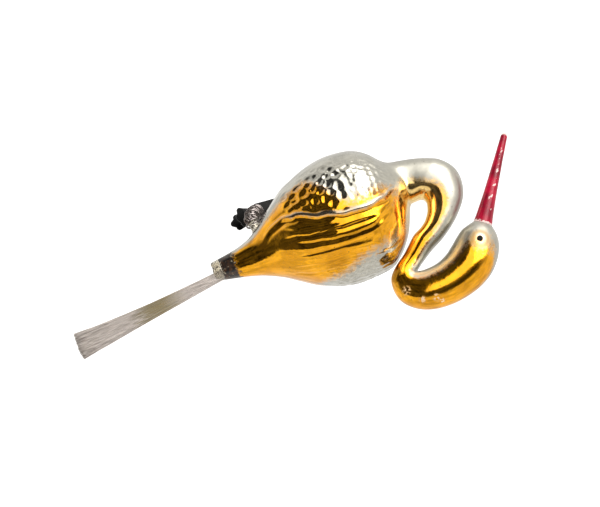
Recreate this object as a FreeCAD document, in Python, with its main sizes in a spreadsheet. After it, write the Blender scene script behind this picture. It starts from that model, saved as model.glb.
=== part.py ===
"""Clip-on glass bird ornament: a silvered blown-glass bird with a spun-glass tail on a sprung clip.

Units are millimetres.  Every piece is first laid out in the bird's own axes: +X from the tail tube
towards the breast, +Y to the bird's left, +Z up, with the origin on the axis of the tail tube.  The
placements then move everything so that the origin is the middle of the twig that the clip grips.
"""
import FreeCAD, Part
import math
import os

Vector = FreeCAD.Vector

# Driving dimensions, by the name that each has in the spreadsheet.
DRIVING = {
    "glass_wall": 0.7,
    "beak_length": 31.0,
    "beak_base_radius": 3.2,
    "beak_tip_radius": 1.0,
    "eye_radius": 0.95,
    "eye_stand": 0.25,
    "nub_radius": 1.5,
    "nub_bulb_radius": 1.8,
    "nub_length": 3.8,
    "coil_radius": 2.2,
    "coil_wire_radius": 0.28,
    "coil_turns": 8.0,
    "rivet_neck_radius": 1.2,
    "rivet_flange_radius": 1.75,
    "rivet_bore_radius": 0.8,
    "plate_width": 6.5,
    "plate_thickness": 0.5,
    "ear_gap": 0.1,
    "pin_radius": 0.6,
    "pin_clearance": 0.06,
    "pin_head_radius": 1.0,
    "twig_radius": 2.0,
    "torsion_radius": 1.25,
    "torsion_wire_radius": 0.22,
    "torsion_turns": 4.0,
    "glue_start": 0.6,
    "glue_end": 4.2,
}

# The glass tube's rings: name, X, Z, radius, and the direction in which the tube runs there, in
# degrees from +X towards +Z.  The first nineteen make the body, the rest the neck and head.
RINGS = [
    ("rim", -4.0, 0.0, 3.05, 0),
    ("tube", 0.0, 0.15, 3.6, 0),
    ("collar", 3.3, 0.3, 4.3, 0),
    ("stalk", 7.0, 0.4, 5.2, 0),
    ("cone_back", 11.1, 0.3, 6.7, 0),
    ("cone_middle", 16.4, -0.4, 10.0, 0),
    ("cone_front", 20.5, -0.5, 12.9, 0),
    ("rump", 25.1, -0.6, 16.1, 0),
    ("flank_back", 29.2, -0.5, 18.0, 0),
    ("flank", 33.2, -0.5, 19.5, 0),
    ("belly_back", 37.9, -0.6, 20.5, 0),
    ("belly", 42.3, -0.75, 20.7, 0),
    ("belly_front", 47.1, -0.7, 20.3, 0),
    ("breast_back", 50.2, -0.7, 19.5, 0),
    ("breast", 53.1, -1.0, 17.7, 0),
    ("breast_front", 55.6, -1.2, 15.4, 0),
    ("shoulder", 57.8, -1.3, 12.7, 0),
    ("throat_back", 59.6, -2.3, 10.6, 0),
    ("throat", 61.0, -3.8, 8.9, 0),
    ("neck_root", 62.2, -4.8, 7.6, 3),
    ("neck_low", 65.6, -4.3, 7.1, 20),
    ("elbow_low", 69.9, -3.0, 7.2, 45),
    ("elbow", 72.7, 0.1, 7.1, 70),
    ("elbow_high", 72.7, 4.5, 6.1, 95),
    ("neck_bend", 70.2, 8.7, 4.85, 120),
    ("neck_fore", 66.8, 12.1, 4.1, 140),
    ("neck_middle", 64.4, 13.8, 3.9, 147),
    ("neck_aft", 60.9, 15.6, 3.85, 148),
    ("neck_high", 57.8, 18.0, 3.5, 147),
    ("fold_start", 55.5, 19.8, 3.3, 142),
    ("fold_low", 53.2, 21.6, 3.6, 120),
    ("fold", 51.7, 23.7, 4.5, 90),
    ("fold_high", 52.1, 27.35, 5.5, 50),
    ("nape", 55.8, 29.9, 6.3, 22),
    ("nape_front", 62.1, 30.5, 6.85, 3),
    ("crown_back", 68.1, 29.2, 7.3, -18),
    ("crown", 72.8, 26.6, 7.6, -32),
    ("crown_front", 76.0, 23.6, 7.2, -42),
    ("face", 78.1, 20.9, 6.3, -48),
    ("muzzle", 79.4, 18.9, 4.9, -53),
    ("beak_root", 80.4, 17.2, 3.2, -55),
]
CLOSED_INSIDE_FROM = "beak_root"

# The spun-glass brush: where its rings are, as distances behind the tube's rim.
BRUSH_RIM_X = -2.4
BRUSH_RIM_Z = 1.83
BRUSH_DISTANCES = (-6.0, -3.0, 0.0, 8.0, 16.0, 24.0, 32.0, 40.0, 49.6)

EYE_PLACE = (77.4, 22.7)
# The nub stands a little back from square to the body, and the coil's first turn sits at its waist.
NUB_PLACE = Vector(13.8, 0, -7.14)
NUB_TILT = 10.0
COIL_TOP_DEPTH = 2.75
# The clip is bent over to the bird's right, nearly upright, and its front slopes away from the belly.
SEAT_PLACE = Vector(15.0, -7.6, -15.3)
CLIP_BEND = 85.0
CLIP_PITCH = 27.0

# In the clip's own axes: X forward, Y across, Z towards the bird, from the coil's seat.
PIN_PLACE = (2.7, -2.5)
TWIG_FORWARD = 8.0
EAR_BACK = 1.2
EAR_FRONT = 4.2
WAIST_X = -1.3
TAB_BACK = -7.4
PLATE_FRONT = 11.0
# Where the torsion spring's straight legs have points, from tip to turns.
LEG_SHARES = (0.0, 0.3, 0.6, 0.85)


def start_document():
    """Make the document and its sheet of driving dimensions."""
    doc = FreeCAD.newDocument("glass_bird_ornament")
    sheet = doc.addObject("Spreadsheet::Sheet", "Sizes")
    cells = dict(DRIVING)
    for name, x, z, radius, _ in RINGS:
        cells[name + "_ring_x"] = x
        cells[name + "_ring_z"] = z
        cells[name + "_ring_radius"] = radius
    for row, (name, value) in enumerate(cells.items(), start=1):
        sheet.set("A%d" % row, name)
        sheet.set("B%d" % row, str(value))
        sheet.setAlias("B%d" % row, name)
    doc.recompute()
    return doc, sheet


def clip_rotation():
    """The clip's axes: forward, across and towards the bird."""
    bend = math.radians(CLIP_BEND)
    pitch = math.radians(CLIP_PITCH)
    towards_bird = Vector(0, math.sin(bend), math.cos(bend))
    forward = Vector(math.cos(pitch), 0, 0) - towards_bird * math.sin(pitch)
    normal = Vector(math.sin(pitch), 0, 0) + towards_bird * math.cos(pitch)
    across = normal.cross(forward)
    return FreeCAD.Rotation(forward, across, normal, "XYZ")


def twig_height(sheet):
    """Height of the twig's middle under the clip's seat: it lies against the flat upper plate."""
    return -sheet.plate_thickness - sheet.twig_radius


def row_origin(sheet):
    """The twig's middle in the bird's axes, which becomes the origin."""
    twig = Vector(TWIG_FORWARD, 0, twig_height(sheet))
    return SEAT_PLACE + clip_rotation().multVec(twig)


def bird_placement(sheet):
    return FreeCAD.Placement(-row_origin(sheet), FreeCAD.Rotation())


def clip_placement(sheet):
    return FreeCAD.Placement(SEAT_PLACE - row_origin(sheet), clip_rotation())


def ring_placement(x, z, direction):
    """A circle's plane, square to the tube's direction in the XZ plane."""
    turn = FreeCAD.Rotation(Vector(0, 1, 0), 90 - direction)
    return FreeCAD.Placement(Vector(x, 0, z), turn)


def loft(doc, name, sections):
    solid = doc.addObject("Part::Loft", name)
    solid.Sections = sections
    solid.Solid = True
    solid.Ruled = False
    return solid


def glass_rings(doc, prefix, radius_rule, rings):
    """One circle for each ring, with place and radius bound to the sheet."""
    circles = []
    for name, x, z, _, direction in rings:
        circle = doc.addObject("Part::Circle", prefix + name)
        circle.Placement = ring_placement(x, z, direction)
        circle.setExpression("Placement.Base.x", "Sizes.%s_ring_x" % name)
        circle.setExpression("Placement.Base.z", "Sizes.%s_ring_z" % name)
        circle.setExpression("Radius", radius_rule % name)
        circles.append(circle)
    return circles


def cut(doc, name, base, tool):
    result = doc.addObject("Part::Cut", name)
    result.Base = base
    result.Tool = tool
    return result


def glass_bird(doc, sheet):
    """The blown shell: an outer and an inner loft along one tube, with a broken slanting rim."""
    outer = loft(doc, "glass_outside", glass_rings(doc, "out_", "Sizes.%s_ring_radius", RINGS))
    hollow = [ring for ring in RINGS if ring[0] != CLOSED_INSIDE_FROM]
    rule = "Sizes.%s_ring_radius - Sizes.glass_wall"
    inner = loft(doc, "glass_inside", glass_rings(doc, "in_", rule, hollow))
    shell = cut(doc, "glass_shell", outer, inner)
    knife = doc.addObject("Part::Box", "rim_knife")
    knife.Length = 12
    knife.Width = 14
    knife.Height = 14
    slant = FreeCAD.Rotation(Vector(0, 1, 0), 21)
    knife.Placement = FreeCAD.Placement(Vector(-1.6, -7, 0) - slant.multVec(Vector(12, 0, 7)), slant)
    bird = cut(doc, "glass_bird", shell, knife)
    bird.Label = "glass_bird"
    bird.Placement = bird_placement(sheet)
    return bird, outer, inner


def plane_of(body, role):
    for feature in body.Origin.OriginFeatures:
        if feature.Role == role:
            return feature
    raise ValueError("no plane " + role)


def add_sketch(body, name, plane, geometry):
    """A sketch on one of the body's own planes, from a list of lines, arcs and circles."""
    sketch = body.newObject("Sketcher::SketchObject", name)
    sketch.AttachmentSupport = [(plane_of(body, plane), "")]
    sketch.MapMode = "FlatFace"
    for piece in geometry:
        sketch.addGeometry(piece, False)
    return sketch


def lines(points):
    """A closed outline of straight lines."""
    corners = [Vector(x, y, 0) for x, y in points]
    return [Part.LineSegment(a, b) for a, b in zip(corners, corners[1:] + corners[:1])]


def turned_body(doc, name, outline):
    """A body turned about its own Z axis from a half outline of radius and height."""
    body = doc.addObject("PartDesign::Body", name)
    body.Label = name
    sketch = add_sketch(body, name + "_outline", "XZ_Plane", outline)
    turn = body.newObject("PartDesign::Revolution", name + "_turning")
    turn.Profile = sketch
    turn.ReferenceAxis = (sketch, ["V_Axis"])
    turn.Angle = 360
    return body


def beak(doc, sheet):
    """The drawn spike: flared at the head, then an even taper to a melted round tip."""
    base = sheet.beak_base_radius
    tip = sheet.beak_tip_radius
    length = sheet.beak_length
    flare_height = length * 0.16
    flare_radius = base * 0.72
    shoulder = length - tip
    flare = Part.Arc(
        Vector(base, 0, 0),
        Vector((base + flare_radius) * 0.475, flare_height * 0.42, 0),
        Vector(flare_radius, flare_height, 0),
    )
    round_tip = Part.Arc(
        Vector(tip, shoulder, 0),
        Vector(tip * math.sqrt(0.5), shoulder + tip * math.sqrt(0.5), 0),
        Vector(0, length, 0),
    )
    outline = [
        Part.LineSegment(Vector(0, 0, 0), Vector(base, 0, 0)),
        flare,
        Part.LineSegment(Vector(flare_radius, flare_height, 0), Vector(tip, shoulder, 0)),
        round_tip,
        Part.LineSegment(Vector(0, length, 0), Vector(0, 0, 0)),
    ]
    body = turned_body(doc, "beak", outline)
    _, x, z, _, direction = RINGS[-1]
    place = bird_placement(sheet)
    body.Placement = place.multiply(ring_placement(x, z, direction))
    return body


def eye(doc, sheet, side, outer):
    """A low dot of lacquer that follows the curve of the head."""
    name = "left_eye" if side > 0 else "right_eye"
    x, z = EYE_PLACE
    rod = doc.addObject("Part::Cylinder", name + "_rod")
    rod.setExpression("Radius", "Sizes.eye_radius")
    rod.Height = 3
    rod.Placement = FreeCAD.Placement(Vector(x, 4.6 * side, z), FreeCAD.Rotation(Vector(1, 0, 0), -90 * side))
    ball = doc.addObject("Part::Sphere", name + "_ball")
    ball.setExpression("Radius", "6.93 + Sizes.eye_stand")
    ball.Placement = FreeCAD.Placement(Vector(x - 0.45, 0, z - 0.45), FreeCAD.Rotation())
    dot = doc.addObject("Part::Common", name + "_dot")
    dot.Base = rod
    dot.Tool = ball
    result = cut(doc, name, dot, outer)
    result.Label = name
    result.Placement = bird_placement(sheet)
    return result


def mount_nub(doc, sheet, outer):
    """A waisted glass nub on the underside, which the coil's first turns grip."""
    neck = sheet.nub_radius
    bulb = sheet.nub_bulb_radius
    length = sheet.nub_length
    outline = lines([
        (0, 0), (neck + 0.5, 0), (neck, 1.2), (neck, length - 0.7), (bulb, length - 0.4),
        (bulb, length), (bulb - 0.5, length + 0.4), (0, length + 0.4),
    ])
    body = turned_body(doc, "nub_turned", outline)
    body.Placement = FreeCAD.Placement(NUB_PLACE, FreeCAD.Rotation(Vector(0, 1, 0), 180 + NUB_TILT))
    result = cut(doc, "mount_nub", body, outer)
    result.Label = "mount_nub"
    result.Placement = bird_placement(sheet)
    return result


def brush_size(distance):
    """Height of the brush's middle, half height and half depth: a bundle in the tube, then a flare."""
    if distance < 0:
        return BRUSH_RIM_Z + 0.2 * distance, 1.6 + 0.04 * distance, 1.5 + 0.03 * distance
    middle = BRUSH_RIM_Z + 0.125 * distance - 0.00055 * distance ** 2
    return middle, 1.6 + 0.0165 * distance + 0.00076 * distance ** 2, 1.5 + 0.034 * distance


def brush_ring(doc, index, distance):
    """One oval of the brush, upright and across the tail."""
    middle, half_height, half_depth = brush_size(distance)
    oval = doc.addObject("Part::Ellipse", "brush_ring_%d" % index)
    oval.MajorRadius = half_height
    oval.MinorRadius = half_depth
    place = Vector(BRUSH_RIM_X - distance, 0, middle)
    oval.Placement = FreeCAD.Placement(place, FreeCAD.Rotation(Vector(0, 1, 0), -90))
    return oval


def tail(doc, sheet, inner):
    """The brush of spun glass, and the glue that fills the tube around its root."""
    ovals = [brush_ring(doc, index, distance) for index, distance in enumerate(BRUSH_DISTANCES)]
    tool = loft(doc, "glue_tool", ovals)
    slab = doc.addObject("Part::Box", "glue_slab")
    slab.setExpression("Length", "Sizes.glue_end - Sizes.glue_start")
    slab.Width = 14
    slab.Height = 14
    slab.Placement = FreeCAD.Placement(Vector(sheet.glue_start, -7, -7), FreeCAD.Rotation())
    fill = doc.addObject("Part::Common", "glue_fill")
    fill.Base = slab
    fill.Tool = inner
    glue = cut(doc, "tail_glue", fill, tool)
    glue.Label = "tail_glue"
    glue.Placement = bird_placement(sheet)
    fibres = loft(doc, "tail_fibres", ovals)
    fibres.Label = "tail_fibres"
    fibres.Placement = bird_placement(sheet)
    return fibres, glue


def bezier_point(points, t):
    """A point and direction on a cubic curve."""
    a, b, c, d = points
    s = 1 - t
    place = a * (s ** 3) + b * (3 * s * s * t) + c * (3 * s * t * t) + d * (t ** 3)
    slope = (b - a) * (3 * s * s) + (c - b) * (6 * s * t) + (d - c) * (3 * t * t)
    return place, slope.normalize()


def smooth(low, high, value):
    t = min(max((value - low) / (high - low), 0.0), 1.0)
    return t * t * (3 - 2 * t)


def coil_line(sheet):
    """The coil's middle line, from the nub to the seat, bent over by the clip's weight."""
    tilt = math.radians(NUB_TILT)
    down = Vector(-math.sin(tilt), 0, -math.cos(tilt))
    top = NUB_PLACE + down * COIL_TOP_DEPTH
    normal = clip_rotation().multVec(Vector(0, 0, 1))
    foot = SEAT_PLACE + normal * (sheet.coil_wire_radius + 0.06)
    return [top, top + down * 4.5, foot + normal * 3.5, foot]


def coil_points(sheet):
    """The wire's path: flat end turns, and open turns between them."""
    line = coil_line(sheet)
    turns = sheet.coil_turns
    flat = 0.55
    end = 0.1
    steps = int(turns * 16)
    side = Vector(0, 1, 0)
    points = []
    for step in range(steps + 1):
        turn = turns * step / steps
        along = min(max((turn - flat) / (turns - 2 * flat), 0.0), 1.0)
        middle, direction = bezier_point(line, along)
        first = (side - direction * side.dot(direction)).normalize()
        second = direction.cross(first)
        grip = sheet.nub_radius + sheet.coil_wire_radius + 0.05
        foot = sheet.rivet_neck_radius + sheet.coil_wire_radius + 0.05
        radius = grip + (sheet.coil_radius - grip) * smooth(end, flat, turn)
        radius += (foot - sheet.coil_radius) * smooth(turns - flat, turns - end, turn)
        angle = 2 * math.pi * turn
        points.append(middle + first * (radius * math.cos(angle)) + second * (radius * math.sin(angle)))
    return points


def swept_wire(points, radius):
    """A round wire along a smooth curve through the points."""
    curve = Part.BSplineCurve()
    curve.interpolate(points)
    path = Part.Wire([curve.toShape()])
    direction = curve.tangent(curve.FirstParameter)[0]
    section = Part.Wire([Part.makeCircle(radius, points[0], direction)])
    return path.makePipeShell([section], True, True)


def coil_spring(doc, sheet):
    """The soft steel coil, which has no straight stretch for a helix primitive to follow."""
    feature = doc.addObject("Part::Feature", "coil_spring")
    feature.Label = "coil_spring"
    feature.Shape = swept_wire(coil_points(sheet), sheet.coil_wire_radius)
    feature.Placement = bird_placement(sheet)
    return feature


def coil_rivet(doc, sheet):
    """The hollow rivet: its flange holds the coil's last turn down on the plate."""
    neck = sheet.rivet_neck_radius
    flange = sheet.rivet_flange_radius
    bore = sheet.rivet_bore_radius
    under = -sheet.plate_thickness
    top = sheet.coil_wire_radius * 2 + 0.06
    outline = lines([
        (bore, under - 0.3), (neck + 0.45, under - 0.3), (neck + 0.45, under), (neck, under),
        (neck, top), (flange, top), (flange, top + 0.2), (flange - 0.25, top + 0.35), (bore, top + 0.35),
    ])
    body = turned_body(doc, "coil_rivet", outline)
    body.Placement = clip_placement(sheet)
    return body


def pad(body, sketch, width_rule, name):
    """A pad both ways from the sketch."""
    feature = body.newObject("PartDesign::Pad", name)
    feature.Profile = sketch
    feature.Midplane = True
    feature.setExpression("Length", width_rule)
    return feature


def pocket(body, sketch, name, width_rule=None):
    """A pocket both ways from the sketch, right through unless a width is given."""
    feature = body.newObject("PartDesign::Pocket", name)
    feature.Profile = sketch
    feature.Midplane = True
    if width_rule is None:
        feature.Type = "ThroughAll"
    else:
        feature.setExpression("Length", width_rule)
    return feature


def circle(x, y, radius):
    return [Part.Circle(Vector(x, y, 0), Vector(0, 0, 1), radius)]


def arc(middle, radius, start, end):
    """An arc about a middle, by its start and end in degrees."""
    def point(degrees):
        turn = math.radians(degrees)
        return Vector(middle[0] + radius * math.cos(turn), middle[1] + radius * math.sin(turn), 0)
    return Part.Arc(point(start), point((start + end) / 2), point(end))


def chain(*parts):
    """A closed outline of arcs, with straight lines where their ends don't meet."""
    outline = []
    for part, following in zip(parts, parts[1:] + parts[:1]):
        outline.append(part)
        here = part.EndPoint
        there = following.StartPoint
        if here.distanceToPoint(there) > 1e-6:
            outline.append(Part.LineSegment(here, there))
    return outline


def plan_outline(width, back, front, waist):
    """Top view of a clip plate: a three-lobed thumb tab, a waist, and rounded jaws."""
    lobe = width * 0.19
    half = width / 2
    side_back = back + 2.2
    return chain(
        arc((back + lobe, 0), lobe, 125, 235),
        arc((side_back + lobe * 0.2, -half + lobe), lobe, 170, 270),
        arc((WAIST_X, -waist / 2 - 1.5), 1.5, 110, 70),
        arc((EAR_BACK - 0.1, -half + 0.6), 0.6, 200, 270),
        arc((front - 1.2, -half + 1.2), 1.2, 270, 360),
        arc((front - 1.2, half - 1.2), 1.2, 0, 90),
        arc((EAR_BACK - 0.1, half - 0.6), 0.6, 90, 160),
        arc((WAIST_X, waist / 2 + 1.5), 1.5, 290, 250),
        arc((side_back + lobe * 0.2, half - lobe), lobe, 90, 190),
    )


def trim_to_plan(body, name, plan):
    """Cut away everything outside the plate's top view."""
    frame = lines([(-20, -15), (25, -15), (25, 15), (-20, 15)])
    sketch = add_sketch(body, name, "XY_Plane", frame + plan)
    return pocket(body, sketch, name + "_cut")


def clip_upper_plate(doc, sheet):
    """The flat upper stamping: thumb tab, coil seat, turned-down ears and upper jaw."""
    body = doc.addObject("PartDesign::Body", "clip_upper_plate")
    body.Label = "clip_upper_plate"
    thick = sheet.plate_thickness
    pin_x, pin_z = PIN_PLACE
    side = lines([
        (TAB_BACK, 0.75), (TAB_BACK, 0.75 + thick), (-3.6, 0), (PLATE_FRONT, 0),
        (PLATE_FRONT, -thick), (-3.6, -thick),
    ])
    side_sketch = add_sketch(body, "upper_side", "XZ_Plane", side)
    pad(body, side_sketch, "Sizes.plate_width", "upper_sheet")
    ears = chain(
        arc((pin_x, pin_z), (EAR_FRONT - EAR_BACK) / 2, 180, 360),
        Part.LineSegment(Vector(EAR_FRONT, -thick / 2, 0), Vector(EAR_BACK, -thick / 2, 0)),
    )
    ear_sketch = add_sketch(body, "upper_ears", "XZ_Plane", ears)
    pad(body, ear_sketch, "Sizes.plate_width", "upper_ear_block")
    gap = lines([(EAR_BACK - 1, -thick), (EAR_FRONT + 1, -thick), (EAR_FRONT + 1, -6), (EAR_BACK - 1, -6)])
    gap_sketch = add_sketch(body, "upper_ear_gap", "XZ_Plane", gap)
    pocket(body, gap_sketch, "upper_ear_gap_cut", "Sizes.plate_width - 2 * Sizes.plate_thickness")
    hole = add_sketch(body, "upper_pin_hole", "XZ_Plane", circle(pin_x, pin_z, sheet.pin_radius))
    pocket(body, hole, "upper_pin_hole_cut")
    plan = plan_outline(sheet.plate_width, TAB_BACK, PLATE_FRONT, 4.6)
    trim_to_plan(body, "upper_plan", plan)
    seat = add_sketch(body, "rivet_hole", "XY_Plane", circle(0, 0, sheet.rivet_neck_radius))
    pocket(body, seat, "rivet_hole_cut")
    body.Placement = clip_placement(sheet)
    return body


def clip_lower_jaw(doc, sheet):
    """The lower stamping: a tab that slopes away, a floor under the pin, and a claw round the twig."""
    body = doc.addObject("PartDesign::Body", "clip_lower_jaw")
    body.Label = "clip_lower_jaw"
    thick = sheet.plate_thickness
    pin_x, pin_z = PIN_PLACE
    twig = (TWIG_FORWARD, twig_height(sheet))
    inside = sheet.twig_radius
    outside = inside + thick
    lip_x = twig[0] + outside
    side = chain(
        arc(twig, inside, 350, 196),
        Part.LineSegment(Vector(5.3, -3.0, 0), Vector(4.3, -4.35, 0)),
        Part.LineSegment(Vector(0.6, -4.35, 0), Vector(TAB_BACK + 0.6, -5.6, 0)),
        Part.LineSegment(Vector(TAB_BACK + 0.6, -5.6 - thick, 0), Vector(0.6, -4.35 - thick, 0)),
        Part.LineSegment(Vector(4.5, -4.35 - thick, 0), Vector(5.6, -3.6, 0)),
        arc(twig, outside, 205, 350),
        Part.LineSegment(Vector(lip_x + 0.15, -1.4, 0), Vector(lip_x - 0.1, -thick - 0.12, 0)),
        Part.LineSegment(Vector(lip_x - 0.6, -thick - 0.12, 0), Vector(lip_x - 0.4, -1.4, 0)),
    )
    side_sketch = add_sketch(body, "lower_side", "XZ_Plane", side)
    inner_width = "Sizes.plate_width - 2 * (Sizes.plate_thickness + Sizes.ear_gap)"
    pad(body, side_sketch, inner_width, "lower_sheet")
    ear_radius = (EAR_FRONT - EAR_BACK) / 2 - 0.15
    ears = chain(
        arc((pin_x, pin_z), ear_radius, 0, 180),
        Part.LineSegment(Vector(pin_x - ear_radius, -4.5, 0), Vector(pin_x + ear_radius, -4.5, 0)),
    )
    ear_sketch = add_sketch(body, "lower_ears", "XZ_Plane", ears)
    pad(body, ear_sketch, inner_width, "lower_ear_block")
    gap = lines([(0.2, -4.35), (4.2, -4.35), (4.2, -0.5), (0.2, -0.5)])
    gap_sketch = add_sketch(body, "lower_ear_gap", "XZ_Plane", gap)
    ear_inside = inner_width + " - 2 * Sizes.plate_thickness"
    pocket(body, gap_sketch, "lower_ear_gap_cut", ear_inside)
    bore = sheet.pin_radius + sheet.pin_clearance
    hole = add_sketch(body, "lower_pin_hole", "XZ_Plane", circle(pin_x, pin_z, bore))
    pocket(body, hole, "lower_pin_hole_cut")
    width = sheet.plate_width - 2 * (thick + sheet.ear_gap)
    plan = plan_outline(width, TAB_BACK + 0.7, lip_x + 0.4, 3.9)
    trim_to_plan(body, "lower_plan", plan)
    body.Placement = clip_placement(sheet)
    return body


def clip_pin(doc, sheet):
    """The hinge pin, peened over outside each ear."""
    half = sheet.plate_width / 2
    radius = sheet.pin_radius
    head = sheet.pin_head_radius
    outline = lines([
        (0, -half - 0.35), (head * 0.7, -half - 0.35), (head, -half - 0.15), (head, -half), (radius, -half),
        (radius, half), (head, half), (head, half + 0.15), (head * 0.7, half + 0.35), (0, half + 0.35),
    ])
    body = turned_body(doc, "clip_pin", outline)
    pin_x, pin_z = PIN_PLACE
    across = FreeCAD.Placement(Vector(pin_x, 0, pin_z), FreeCAD.Rotation(Vector(1, 0, 0), 90))
    body.Placement = clip_placement(sheet).multiply(across)
    return body


def tangent_angle(point, radius, side):
    """Where a straight leg from the point meets the circle about the pin, in radians."""
    away = math.hypot(point[0], point[1])
    return math.atan2(point[1], point[0]) + side * math.acos(radius / away)


def torsion_points(sheet):
    """The torsion spring's path: a leg under the upper plate, turns on the pin, a leg on the jaw."""
    pin_x, pin_z = PIN_PLACE
    radius = sheet.torsion_radius
    wire = sheet.torsion_wire_radius
    gap = 0.05
    upper_tip = (2.7, -sheet.plate_thickness - wire - gap - pin_z)
    lower_tip = (-4.6, -1.35)
    start = tangent_angle(upper_tip, radius, 1)
    finish = tangent_angle(lower_tip, radius, -1)
    sweep = 2 * math.pi * sheet.torsion_turns + (finish - start) % (2 * math.pi)
    span = 2.4
    steps = int(sheet.torsion_turns * 16)
    points = []
    for step in range(steps + 1):
        angle = start + sweep * step / steps
        across = -span / 2 + span * step / steps
        points.append(Vector(pin_x + radius * math.cos(angle), across, pin_z + radius * math.sin(angle)))
    upper_end = Vector(pin_x + upper_tip[0], -span / 2, pin_z + upper_tip[1])
    lower_end = Vector(pin_x + lower_tip[0], span / 2, pin_z + lower_tip[1])
    upper_leg = [upper_end + (points[0] - upper_end) * share for share in LEG_SHARES]
    lower_leg = [lower_end + (points[-1] - lower_end) * share for share in LEG_SHARES]
    return upper_leg + points + lower_leg[::-1]


def clip_spring(doc, sheet):
    """The wire torsion spring that keeps the jaws shut."""
    feature = doc.addObject("Part::Feature", "clip_spring")
    feature.Label = "clip_spring"
    feature.Shape = swept_wire(torsion_points(sheet), sheet.torsion_wire_radius)
    feature.Placement = clip_placement(sheet)
    return feature


def check_state(doc):
    """Stop if any object of the document has failed."""
    for item in doc.Objects:
        bad = [word for word in item.State if word in ("Invalid", "Error")]
        if bad:
            raise RuntimeError("%s: %s" % (item.Name, ", ".join(bad)))


def write_parts(parts):
    """Check every sub-part's shape and write it to its own file."""
    os.makedirs("parts", exist_ok=True)
    for part in parts:
        shape = part.Shape
        if shape.isNull() or not shape.isValid() or not shape.Solids:
            raise RuntimeError("bad shape: " + part.Label)
    for part in parts:
        part.Shape.exportStep("parts/%s.step" % part.Label)
        print("%-18s solids %d  volume %9.3f mm3" % (part.Label, len(part.Shape.Solids), part.Shape.Volume))


def print_places(sheet):
    """Print the joints' places and axes in the row's frame, in millimetres."""
    origin = row_origin(sheet)
    line = coil_line(sheet)
    pin_x, pin_z = PIN_PLACE
    places = {
        "jaw_open": clip_placement(sheet).multVec(Vector(pin_x, 0, pin_z)),
        "bird_nod": bezier_point(line, 0.78)[0] - origin,
        "bird_lean": bezier_point(line, 0.25)[0] - origin,
        "tail tube": -origin,
        "clip across": clip_rotation().multVec(Vector(0, 1, 0)),
    }
    for name, place in places.items():
        print("%-12s %9.4f %9.4f %9.4f" % (name, place.x, place.y, place.z))


def main():
    doc, sheet = start_document()
    bird, outer, inner = glass_bird(doc, sheet)
    parts = [bird, beak(doc, sheet), eye(doc, sheet, 1, outer), eye(doc, sheet, -1, outer)]
    parts.append(mount_nub(doc, sheet, outer))
    parts.extend(tail(doc, sheet, inner))
    parts.append(coil_spring(doc, sheet))
    parts.append(coil_rivet(doc, sheet))
    parts.append(clip_upper_plate(doc, sheet))
    parts.append(clip_lower_jaw(doc, sheet))
    parts.append(clip_pin(doc, sheet))
    parts.append(clip_spring(doc, sheet))
    doc.recompute()
    check_state(doc)
    write_parts(parts)
    print_places(sheet)


main()
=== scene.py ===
# %% [markdown]
# # A clip-on glass bird, built around its measured model
# The ornament is a swan-necked bird of blown glass.  The glassblower drew a tube, blew the body in a mould
# that pressed dimples and feathers into it, bent the neck by hand over a flame, silvered the inside and
# sprayed gold lacquer over the sides.  A brush of spun glass is glued into the open tail tube, and a soft
# steel coil joins the bird to a sprung clip.
# This notebook loads the measured model, keeps the metal parts that it has, and builds the glass, the
# lacquer and the brush over it.

# %% Load the measured model
import math
from functools import partial

import bmesh
import bpy
from mathutils import Matrix, Vector, noise
from mathutils.kdtree import KDTree
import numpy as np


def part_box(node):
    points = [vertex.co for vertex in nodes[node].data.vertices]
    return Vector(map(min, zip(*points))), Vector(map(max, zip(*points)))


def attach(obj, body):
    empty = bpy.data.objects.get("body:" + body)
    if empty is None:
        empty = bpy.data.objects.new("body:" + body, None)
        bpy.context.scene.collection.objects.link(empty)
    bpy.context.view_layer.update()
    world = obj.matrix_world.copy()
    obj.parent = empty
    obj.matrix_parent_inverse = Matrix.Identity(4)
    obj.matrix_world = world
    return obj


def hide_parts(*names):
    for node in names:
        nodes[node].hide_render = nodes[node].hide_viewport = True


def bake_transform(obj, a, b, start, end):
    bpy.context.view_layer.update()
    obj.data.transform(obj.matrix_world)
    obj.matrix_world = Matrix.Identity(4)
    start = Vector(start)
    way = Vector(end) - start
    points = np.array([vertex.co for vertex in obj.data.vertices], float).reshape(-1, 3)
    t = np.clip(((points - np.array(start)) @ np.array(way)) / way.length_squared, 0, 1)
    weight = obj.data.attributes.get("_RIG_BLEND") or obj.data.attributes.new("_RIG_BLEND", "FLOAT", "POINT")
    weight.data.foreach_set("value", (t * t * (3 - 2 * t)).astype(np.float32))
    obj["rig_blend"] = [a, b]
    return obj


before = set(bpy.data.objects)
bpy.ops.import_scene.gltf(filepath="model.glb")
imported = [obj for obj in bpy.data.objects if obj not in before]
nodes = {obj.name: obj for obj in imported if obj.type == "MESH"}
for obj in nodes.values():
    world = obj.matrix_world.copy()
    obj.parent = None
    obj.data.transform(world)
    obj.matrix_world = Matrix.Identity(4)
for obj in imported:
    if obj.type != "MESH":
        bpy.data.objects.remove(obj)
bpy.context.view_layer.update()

# %% [markdown]
# ## Working in the bird's own millimetres
# A glassblower's sizes are easiest to read in millimetres, from the middle of the tail tube: X to the
# breast, Y to the bird's left, Z up through its back.  Every piece is modelled there and then moved once
# into the model's frame, so its object can stay at the origin.

# %% From the bird's axes to the model's frame
MM = 0.001
TUBE = Vector((-20.993, 13.437, 15.811))
to_frame = Matrix.Scale(MM, 4) @ Matrix.Translation(TUBE)
glass_low, glass_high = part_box("glass_bird")
print("tail rim at X", round(glass_low.x / MM, 2), "and by the tube's place", round(TUBE.x - 4.0, 2))
middle_y = (glass_low.y + glass_high.y) / 2 / MM
print("middle plane at Y", round(middle_y, 2), "and by the tube's place", round(TUBE.y, 2))


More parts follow.
